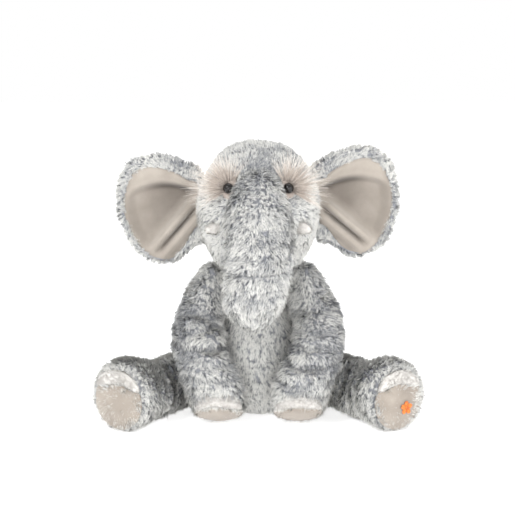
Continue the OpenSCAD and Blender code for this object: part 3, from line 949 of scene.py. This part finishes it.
trunkFur = growFur("trunk_fur", trunkSkin, trunkComb,
                   lambda p, n: (p[:, 1] < t[1] + 26 * mm) & (eyeSpread(p) > 7 * mm), seed=19,
                   tone=trunkTone, lay=0.6, length=9.5 * mm, tufts=0.26e6)
wear(trunkFur, None)
for piece in [trunkSkin] + trunkFur:
    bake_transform(piece)
print("trunk done")

# Ears: a fur back whose rim wraps forward round a smooth lining, gathered into folds at the root
ears = {
    # [out, up] round each outline from the ear's joint, in millimetres
    "outline": [(-16, 24), (-14, 41), (6, 52), (30, 60), (54, 59), (70, 50), (80, 33), (83, 8), (79, -20),
                (68, -42), (56, -54), (38, -61), (22, -60), (11, -52), (-2, -43), (-15, -36), (-17, -6)],
    "lining": [(-12, 10), (-11, 26), (2, 33), (24, 44), (50, 49), (66, 42), (76, 26), (79, 6), (76, -15),
               (64, -39), (52, -54), (38, -60), (24, -58), (13, -50), (5, -37), (-3, -25), (-11, -17)],
    "hollow": 13,               # depth of the hollow by the head
    "hollowOut": 6,             # and at the outer edge
    "valley": (0, -8, 46),      # a deep crease from this point, falling outwards at this angle
    "valleyDeep": 7,
    "ridge": (7.5, 5.0, 4.5),   # over the crease: how far above it, half width, height
    "lowRidge": (-8, 5.0, 4.0),
    "stretch": (1.035, 1.075),       # of the outline, out and up
    "liningStretch": (1.0, 1.05),
    "thick": 6,
    "lift": {"left": 6, "right": -3},       # degrees that each ear is turned up
    "raise": {"left": 2, "right": -1},
}


def smoothLoop(points, steps):
    p = np.array(points, float)
    n = len(p)
    out = []
    for i in range(n):
        a, b, c, d = p[i - 1], p[i], p[(i + 1) % n], p[(i + 2) % n]
        for k in range(steps):
            out.append(between(a, b, c, d, k / steps))
    return np.array(out)


def insideLoop(q, loop):
    inside = np.zeros(len(q), bool)
    for a, b in zip(loop, np.roll(loop, -1, axis=0)):
        crosses = (a[1] > q[:, 1]) != (b[1] > q[:, 1])
        at = a[0] + (q[:, 1] - a[1]) / np.where(b[1] == a[1], 1e-9, b[1] - a[1]) * (b[0] - a[0])
        inside ^= crosses & (q[:, 0] < at)
    return inside


earLoop = smoothLoop(ears["outline"], 10) * ears["stretch"]
liningLoop = smoothLoop(ears["lining"], 10) * ears["liningStretch"]
earHub = np.array([22.0, -4.0])


# How far [out, up] is above the crease, along it, and below the upper flange
def earLines(q):
    x, y, fall = ears["valley"]
    angle = math.radians(fall)
    above = (q[:, 0] - x) * math.sin(angle) + (q[:, 1] - y) * math.cos(angle)
    along = (q[:, 0] - x) * math.cos(angle) - (q[:, 1] - y) * math.sin(angle)
    return above, along, 25 + 0.42 * q[:, 0] - 0.0065 * q[:, 0] ** 2 - q[:, 1]


# How far back the ear's sheet lies at [out, up]: it bows away in the hollow and comes forward at the ridges
def earDepth(q, share):
    above, along, flange = earLines(q)
    rim = 1 - smoothStep(0.72, 1.0, share)
    deep = ears["hollow"] + (ears["hollowOut"] - ears["hollow"]) * np.clip(q[:, 0] / 75, 0, 1)
    depth = deep * smoothStep(8, 22, above) * smoothStep(-2, 9, flange) * rim
    fade = smoothStep(-16, -2, along) * (1 - smoothStep(52, 68, along))
    crease = ears["valleyDeep"] * np.exp(-(above / 2.2) ** 2) * fade
    depth = depth + crease * (1 - 0.6 * smoothStep(30, 66, along))
    for at, wide, high in (ears["ridge"], ears["lowRidge"]):
        depth = depth - high * np.exp(-((above - at) / wide) ** 2) * fade
    depth = depth - 2.5 * np.exp(-((flange + 5) / 5.0) ** 2) * rim
    wrinkle = np.sin(np.arctan2(q[:, 1] - 22, q[:, 0] + 16) * 34) * np.exp(-((q[:, 0] + 6) / 16) ** 2)
    return depth + 0.7 * wrinkle * smoothStep(6, 20, above)


def earPoints(name, q, depth):
    sign = sides[name]
    turn = math.radians(ears["lift"][name])
    out = q[:, 0] * math.cos(turn) - q[:, 1] * math.sin(turn)
    up = q[:, 0] * math.sin(turn) + q[:, 1] * math.cos(turn) + ears["raise"][name]
    axis = mirrored(jointAt("ear_fold_left"), sign)
    return np.column_stack([axis[0] + sign * out * mm, axis[1] + (depth - 2) * mm, axis[2] + up * mm])


def sheetFrom(label, name, loop, shares, front, back):
    n = len(loop)
    points = []
    for share, level in [(s, front) for s in shares] + [(s, back) for s in shares[::-1]]:
        q = earHub + (loop - earHub) * share
        points.append(earPoints(name, q, earDepth(q, np.full(n, share)) + level(share)))
    mid = earHub[None, :]
    centres = [earPoints(name, mid, earDepth(mid, np.zeros(1)) + level(0)) for level in (front, back)]
    rows = len(points)
    flat = np.vstack(points + centres)
    faces = ringFaces(rows, n)
    faces += [(rows * n, (i + 1) % n, i) for i in range(n)]
    faces += [((rows - 1) * n + i, (rows - 1) * n + (i + 1) % n, rows * n + 1) for i in range(n)]
    if sides[name] < 0:
        faces = [f[::-1] for f in faces]
    return meshObject(label, flat, faces)


def earFlat(name, p):
    axis = mirrored(jointAt("ear_fold_left"), sides[name])
    turn = math.radians(-ears["lift"][name])
    out = (p[:, 0] - axis[0]) * sides[name] / mm
    up = (p[:, 2] - axis[2]) / mm - ears["raise"][name]
    return np.column_stack([out * math.cos(turn) - up * math.sin(turn),
                            out * math.sin(turn) + up * math.cos(turn)])


# How much painted shade the lining gets at [out, up]: in the hollow, and most in the crease; the ridge gets
# a painted highlight
def earFoldShade(q):
    above, along, flange = earLines(q)
    fade = smoothStep(-16, -2, along) * (1 - smoothStep(46, 66, along))
    broad = smoothStep(9, 24, above) * smoothStep(-2, 7, flange) * (1 - 0.65 * smoothStep(18, 66, q[:, 0]))
    under = np.exp(-((flange - 4) / 4.0) ** 2) * (1 - smoothStep(30, 60, q[:, 0])) * (flange > -4)
    crease = np.exp(-(above / 2.6) ** 2) * fade
    low = 0.5 * np.exp(-((above + 16) / 3.5) ** 2) * fade
    light = np.exp(-((above - ears["ridge"][0]) / 4.0) ** 2) * fade
    return np.clip(0.55 * broad + 0.45 * under + 0.6 * crease + 0.7 * low - 0.4 * light, 0, 1)


shares = np.linspace(0.02, 1, 46)
for name, sign in sides.items():
    body = f"ear_{name}"
    back = sheetFrom(f"ear_{name}_back", name, earHub + (earLoop - earHub) * 0.97, shares,
                     lambda s: 1.0 - 2.4 * smoothStep(0.82, 0.95, s) + 3.6 * smoothStep(0.95, 1.0, s),
                     lambda s: ears["thick"] - 2.6 * smoothStep(0.90, 1.0, s))
    lumpy(back, (0.5, 16, 140))
    dressed(back, backing, [f"ear_back_{name}"])
    lining = sheetFrom(f"ear_{name}_lining", name, liningLoop, shares,
                       lambda s: -1.6 + 1.2 * smoothStep(0.94, 1.0, s), lambda s: -0.4)
    lumpy(lining, (0.35, 12, 141), (0.12, 4, 142))
    dressed(lining, earVelour, [f"ear_lining_{name}"])
    # painted shade: the fold attribute darkens the lining in its hollow and crease and lightens it on the
    # ridge
    fold = lining.data.attributes.new("fold", "FLOAT", "POINT")
    fold.data.foreach_set("value", earFoldShade(earFlat(name, pointsOf(lining))).astype(np.float32))
    wide, tall = np.ptp(liningLoop, axis=0) * mm * [1.14, 1.08]
    axis = mirrored(jointAt("ear_fold_left"), sign)

    def earComb(p, n):
        away = unit((p - (axis + np.array([8 * mm * sign, 0, -4 * mm]))) * [1, 0, 1])
        backwards = np.array([0, 0.3, 0]) * smoothStep(0.3, 0.9, -n[:, 1:2])
        return away * 0.9 + backwards + np.array([0, 0, -0.25])

    def earKeep(p, n):
        return (n[:, 1] > 0.1) | ~insideLoop(earFlat(name, p), earHub + (liningLoop - earHub) * 0.95)

    fur = growFur(f"ear_{name}_fur", back, earComb, earKeep, seed=21 if sign > 0 else 22,
                  length=8.5 * mm, lay=0.62, tone=toned(-0.1), tufts=0.26e6)
    wear(fur, None)
    for piece in [back, lining] + fur:
        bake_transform(piece)
print("ears done")

# Neck: a collar of fur
# [y, z, radius] from the neck's joint, in millimetres
neck = {"way": [(-4, -34, 42), (-8, -8, 45), (-14, 16, 46)], "furGap": 2 * mm}
collarWay = [(neckAt[0], neckAt[1] + y * mm, neckAt[2] + z * mm, r * mm) for y, z, r in neck["way"]]
collar = wrapped("neck_skin", nodeCopies("neck_filling") + [tube("collar", collarWay)])
inset(collar, neck["furGap"])
lumpy(collar, (1.0, 20, 150))
dressed(collar, backing, ["neck_filling"])
collarFur = growFur("neck_fur", collar, torsoComb, lambda p, n: abs(n[:, 2]) < 0.8, seed=23, tufts=0.16e6,
                    tone=toned(0.1))
wear(collarFur, None)
for piece in [collar] + collarFur:
    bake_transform(piece)

# Eyes: glossy domes set into a blush patch with long lashes of blush pile
face = {
    "yaw": 30,                 # degrees that an eye's patch is turned outwards, and up
    "pitch": 20,
    "lashes": 620,
    "fan": (38, 46, -35, 115), # degrees from level: middle, spread, lowest and highest lash
    "rootRing": (5, 11),       # how far from the eye's middle the lashes grow, in millimetres
    "lashLong": (11, 42),      # shortest and longest lash, in millimetres
    "lashWidth": 0.45 * mm,
}
eyeGloss = plainMaterial("eye gloss", "#0b0705", 0.05)
eyeTree = eyeGloss.node_tree
eyeShader = eyeTree.nodes["Principled BSDF"]
eyeShader.inputs["Specular IOR Level"].default_value = 0.3
eyeShader.inputs["Coat Weight"].default_value = 0.3
eyeShader.inputs["Coat Roughness"].default_value = 0.03
iris = addNode(eyeTree.nodes, "TexNoise", Scale=260)
irisRamp = addNode(eyeTree.nodes, "ValToRGB")
irisRamp.color_ramp.elements[0].color = hexColour("#030202")
irisRamp.color_ramp.elements[1].color = hexColour("#0e0704")
eyeTree.links.new(iris.outputs["Fac"], irisRamp.inputs["Fac"])
eyeTree.links.new(irisRamp.outputs["Color"], eyeShader.inputs["Base Color"])
blushPlush = napMaterial("blush plush", "#877b73", "#aba098", 90, 1200, 0.6, 0.85, 0.4)
blushFur = {
    "root": [plainMaterial("blush root", "#8d847d", 0.75, 0.1)],
    "middle": [plainMaterial("blush middle", "#b5aaa1", 0.75, 0.1)],
    "tip": [plainMaterial("blush tip", "#ccc2b9", 0.75, 0.1),
            plainMaterial("blush pale tip", "#e2dcd5", 0.75, 0.1)],
}


# Tapered strands from given roots along given ways, bending towards a second way at their tips
def strandsFrom(name, roots, ways, lengths, bend, width, tones, seed, segments=5):
    rng = np.random.default_rng(seed)
    total = len(roots)
    s = np.linspace(0, 1, segments + 1)
    spine = roots[:, None, :] + ways[:, None, :] * (lengths[:, None] * s)[:, :, None] \
        + bend[:, None, :] * (lengths[:, None] * s ** 2)[:, :, None]
    direction = unit(ways + bend)
    across = unit(np.cross(direction, rng.normal(0, 1, (total, 3)) + [0, -1.5, 0]))
    wide = width * (1 - 0.75 * s)
    left = spine - across[:, None, :] * wide[None, :, None] / 2
    right = spine + across[:, None, :] * wide[None, :, None] / 2
    points = np.stack([left, right], axis=2).reshape(total, -1, 3)
    per = 2 * (segments + 1)
    faces, index = [], []
    slots = tones["root"] + tones["middle"] + tones["tip"]
    for i in range(total):
        for k in range(segments):
            a = i * per + 2 * k
            faces.append((a, a + 1, a + 3, a + 2))
            index.append(0 if k == 0 else 1 if k < 3 else 2 + int(rng.random() < 0.5))
    obj = meshObject(name, points.reshape(-1, 3), faces)
    for material in slots:
        obj.data.materials.append(material)
    obj.data.polygons.foreach_set("material_index", np.array(index, np.int32))
    return obj


for name, sign in sides.items():
    low, high = boxOf(f"eye_patch_{name}")
    patchMid = (low + high) / 2
    out = facing(sign, face["yaw"], face["pitch"])
    outUp = unit(np.array([0, 0, 1.0]) - out[2] * out)
    right = np.cross(outUp, out)
    wide = (high[2] - low[2]) / 2
    around = np.linspace(0, 2 * math.pi, 48, endpoint=False)
    rings = []
    for f in (0.02, 0.25, 0.42, 0.5, 0.62, 0.8, 0.93, 1.0):
        # a soft roll round the eye, sunk under it and at the patch's edge
        roll = 1.2 * mm + 1.4 * mm * math.exp(-((f - 0.62) / 0.16) ** 2)
        height = roll - 2.2 * mm * smoothStep(0.75, 1.0, f) - 1.6 * mm * smoothStep(0.45, 0.2, f)
        rings.append(padRing(wide * f, around, height))
    rings.append(padRing(wide * 0.96, around, -3.5 * mm))
    patch = padFromRings(f"eye_{name}_patch", rings, lambda flat: placed(flat, patchMid, right, outUp, out))
    lumpy(patch, (0.3, 5, 160))
    dressed(patch, blushPlush, [f"eye_patch_{name}"], "head")

    rng = np.random.default_rng(41 if sign > 0 else 42)
    count = face["lashes"]
    # lashes fan out sideways and upwards from each eye
    middle, spread, lowest, highest = face["fan"]
    fan = np.radians(np.clip(rng.normal(middle, spread, count), lowest, highest))
    radial = np.outer(np.cos(fan) * sign, [1, 0, 0]) + np.outer(np.sin(fan), outUp)
    ways = unit(radial + out * rng.uniform(0.1, 0.75, (count, 1)) + rng.normal(0, 0.10, (count, 3)))
    roots = patchMid + radial * rng.uniform(*face["rootRing"], (count, 1)) * mm + out * 0.5 * mm
    long = rng.uniform(*face["lashLong"], count) * mm * (0.72 + 0.28 * np.cos(fan - math.radians(12)))
    bend = unit(radial - out * 0.9) * rng.uniform(0.05, 0.35, (count, 1))
    lashes = strandsFrom(f"eye_{name}_lashes", roots, ways, long, bend, face["lashWidth"], blushFur, 43)
    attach(lashes, "head")
    recoloured(frame["nodes"][f"eye_{name}"], eyeGloss)
print("eyes done")

# Tusks: two small stubs of white plush
tusks = {"yaw": 58, "pitch": -4, "radii": (6.6 * mm, 6.4 * mm, 4.6 * mm)}
for name, sign in sides.items():
    low, high = boxOf(f"tusk_{name}")
    out = facing(sign, tusks["yaw"], tusks["pitch"])
    mid = (low + high) / 2
    a, b = mid - out * 6 * mm, mid + out * 4.5 * mm
    stations = [(*spot, r) for spot, r in zip((a, mid, b), tusks["radii"])]
    plush = tube(f"tusk_{name}_plush", stations, 24, 4, flatAxis=(0, 0, 1))
    lumpy(plush, (0.3, 5, 170))
    dressed(plush, toePlush, [f"tusk_{name}"], "head")
    pile = growFur(f"tusk_{name}_pile", plush, combed(out), None,
                   seed=45, tones=whiteTones, length=3.4 * mm, lay=0.6, tufts=0.4e6, strands=5,
                   spread=1.0 * mm, width=0.45 * mm)
    wear(pile, "head")
print("tusks done")

# Tail: a thin fur tube with a loose tuft
tailRoot = jointAt("tail_lift")
tuftLow, tuftHigh = boxOf("tail_tuft")
tuftMid = (tuftLow + tuftHigh) / 2
tailWay = unit(tuftMid - tailRoot)
tail = {"radius": 6.5 * mm, "tuft": 260, "tuftLong": (9, 17)}
tailEnd = tuftMid - tailWay * 2 * mm
tailStations = [(*(tailRoot - tailWay * 1 * mm), 7 * mm), (*((tailRoot + tailEnd) / 2), tail["radius"]),
                (*tailEnd, 5 * mm)]
tailSkin = wrapped("tail_skin", [tube("tail", tailStations, 20)], 2.5 * mm, 3)
dressed(tailSkin, backing, ["tail_cover", "tail_tuft"])
tailFur = growFur("tail_fur", tailSkin, combed(tailWay), None, seed=47,
                  length=7.5 * mm, lay=0.6)
rng = np.random.default_rng(48)
count = tail["tuft"]
ways = unit(tailWay + rng.normal(0, 0.20, (count, 3)))
roots = tailEnd + rng.normal(0, 1.8 * mm, (count, 3))
long = rng.uniform(*tail["tuftLong"], count) * mm
brush = strandsFrom("tail_brush", roots, ways, long, np.tile([0, 0.1, 0.25], (count, 1)), 0.6 * mm,
                    {k: v[:2] for k, v in furMaterials.items()}, 49)
lifted(brush, 0.8 * mm)
for piece in [tailSkin, brush] + tailFur:
    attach(piece, "tail")
print("tail done")

# Flower on the left sole: satin stitches over five petals
flower = {
    "petals": 5,
    "petalLong": 3.4 * mm,
    "petalWide": 2.75 * mm,
    "reach": 2.0 * mm,         # from the middle to where a petal starts
    "thread": 0.36 * mm,
    "rows": 15,                # of stitches in a petal
    "heart": 1.9 * mm,         # radius of the middle
}
threadMaterial = napMaterial("orange thread", "#c9601f", "#ef8b42", 300, 2500, 0.5, 0.45, 0.2)
low, high = boxOf("sole_motif")
flowerMid = (low + high) / 2
splay = math.radians(soles["legSplay"])
flowerOut = np.array([math.sin(splay), -math.cos(splay), 0])
flowerUp = np.array([0, 0, 1.0])
flowerRight = np.cross(flowerUp, flowerOut)
flowerMid = flowerMid + flowerOut * 1.6 * mm
stitches = []
for k in range(flower["petals"]):
    turn = 2 * math.pi * k / flower["petals"] + 0.3
    axis = np.array([math.cos(turn), math.sin(turn)])
    cross = np.array([-axis[1], axis[0]])
    for r in range(flower["rows"]):
        f = (r + 0.5) / flower["rows"]
        halfWide = flower["petalWide"] * math.sqrt(max(1 - (2 * f ** 1.2 - 1) ** 2, 0.02))
        base = axis * (flower["reach"] + 2 * flower["petalLong"] * f * 0.9)
        lean = axis * halfWide * 0.15
        stitches.append((base - cross * halfWide - lean, base + lean * 0.2, base + cross * halfWide - lean))
for r in range(9):
    y = (r - 4) * 0.42 * mm
    halfWide = math.sqrt(max(flower["heart"] ** 2 - y * y, 0))
    stitches.append((np.array([-halfWide, y]), np.array([0, y]), np.array([halfWide, y])))
tubes = []
for a, m, b in stitches:
    spots = [flowerMid + flowerRight * q[0] + flowerUp * q[1] + flowerOut * lift
             for q, lift in ((a, -0.4 * mm), (m, 0.55 * mm), (b, -0.4 * mm))]
    stations = [(*spot, flower["thread"] / 2 * 1.25) for spot in spots]
    tubes.append(tube("stitch", stations, 6, 3, flatAxis=(0, 0, 1)))
stitched = joined("sole_flower", tubes)
dressed(stitched, threadMaterial, ["sole_motif"], "leg_left")
print("flower done")

# Inside: the pellet bag and the eyes' washers keep their own shapes
bagCloth = napMaterial("bag cloth", "#c9c1b2", "#e4ded2", 50, 900, 0.4, 0.85, 0.1)
pelletPlastic = napMaterial("pellets", "#e9e9e6", "#fbfbf9", 400, 900, 0.8, 0.35, 0.0)
washerPlastic = napMaterial("washer plastic", "#cfcfca", "#e8e8e4", 80, 500, 0.15, 0.4, 0.0)
inside = {"pellet_bag": bagCloth, "pellets": pelletPlastic,
          "eye_washer_left": washerPlastic, "eye_washer_right": washerPlastic}
for node, material in inside.items():
    recoloured(frame["nodes"][node], material)

# Camera, floor and light
view = {"distance": 1.85, "height": 11, "lens": 107.5, "aimUp": 183 * mm, "aimSide": -1 * mm}
rise = math.radians(view["height"])
aim = Vector((view["aimSide"], 0, view["aimUp"]))
camera = bpy.data.objects.new("camera", bpy.data.cameras.new("camera"))
scene.collection.objects.link(camera)
camera.location = aim + Vector((0, -math.cos(rise), math.sin(rise))) * view["distance"]
camera.rotation_euler = (aim - camera.location).to_track_quat("-Z", "Y").to_euler()
camera.data.lens = view["lens"]
scene.camera = camera

studio = {"world": 1.0, "key": 13, "fill": 8, "front": 11, "top": 4, "floor": "#ffffff", "floorGlow": 0.6}
world = bpy.data.worlds.new("studio") if scene.world is None else scene.world
scene.world = world
world.use_nodes = True
world.node_tree.nodes["Background"].inputs["Color"].default_value = (1, 1, 1, 1)
world.node_tree.nodes["Background"].inputs["Strength"].default_value = studio["world"]


def softbox(name, spot, size, power):
    light = bpy.data.lights.new(name, "AREA")
    light.shape = "DISK"
    light.size = size
    light.energy = power
    obj = bpy.data.objects.new(name, light)
    scene.collection.objects.link(obj)
    obj.location = spot
    obj.rotation_euler = (aim - Vector(spot)).to_track_quat("-Z", "Y").to_euler()


softbox("key light", (-0.8, -1.4, 1.4), 0.5, studio["key"])
softbox("fill light", (1.3, -1.2, 0.7), 1.1, studio["fill"])
softbox("front light", (0.1, -1.9, 0.35), 1.3, studio["front"])
softbox("top light", (0.2, 0.5, 1.7), 0.9, studio["top"])
scene.view_settings.view_transform = "Standard"
floor = meshObject("floor", [(-4, -4, 0), (4, -4, 0), (4, 4, 0), (-4, 4, 0)], [(0, 1, 2, 3)], smooth=False)
floorPaint = plainMaterial("studio floor", studio["floor"], 0.9)
floorShader = floorPaint.node_tree.nodes["Principled BSDF"]
floorShader.inputs["Emission Color"].default_value = (1, 1, 1, 1)
floorShader.inputs["Emission Strength"].default_value = studio["floorGlow"]
floor.data.materials.append(floorPaint)
print("camera and lights done")
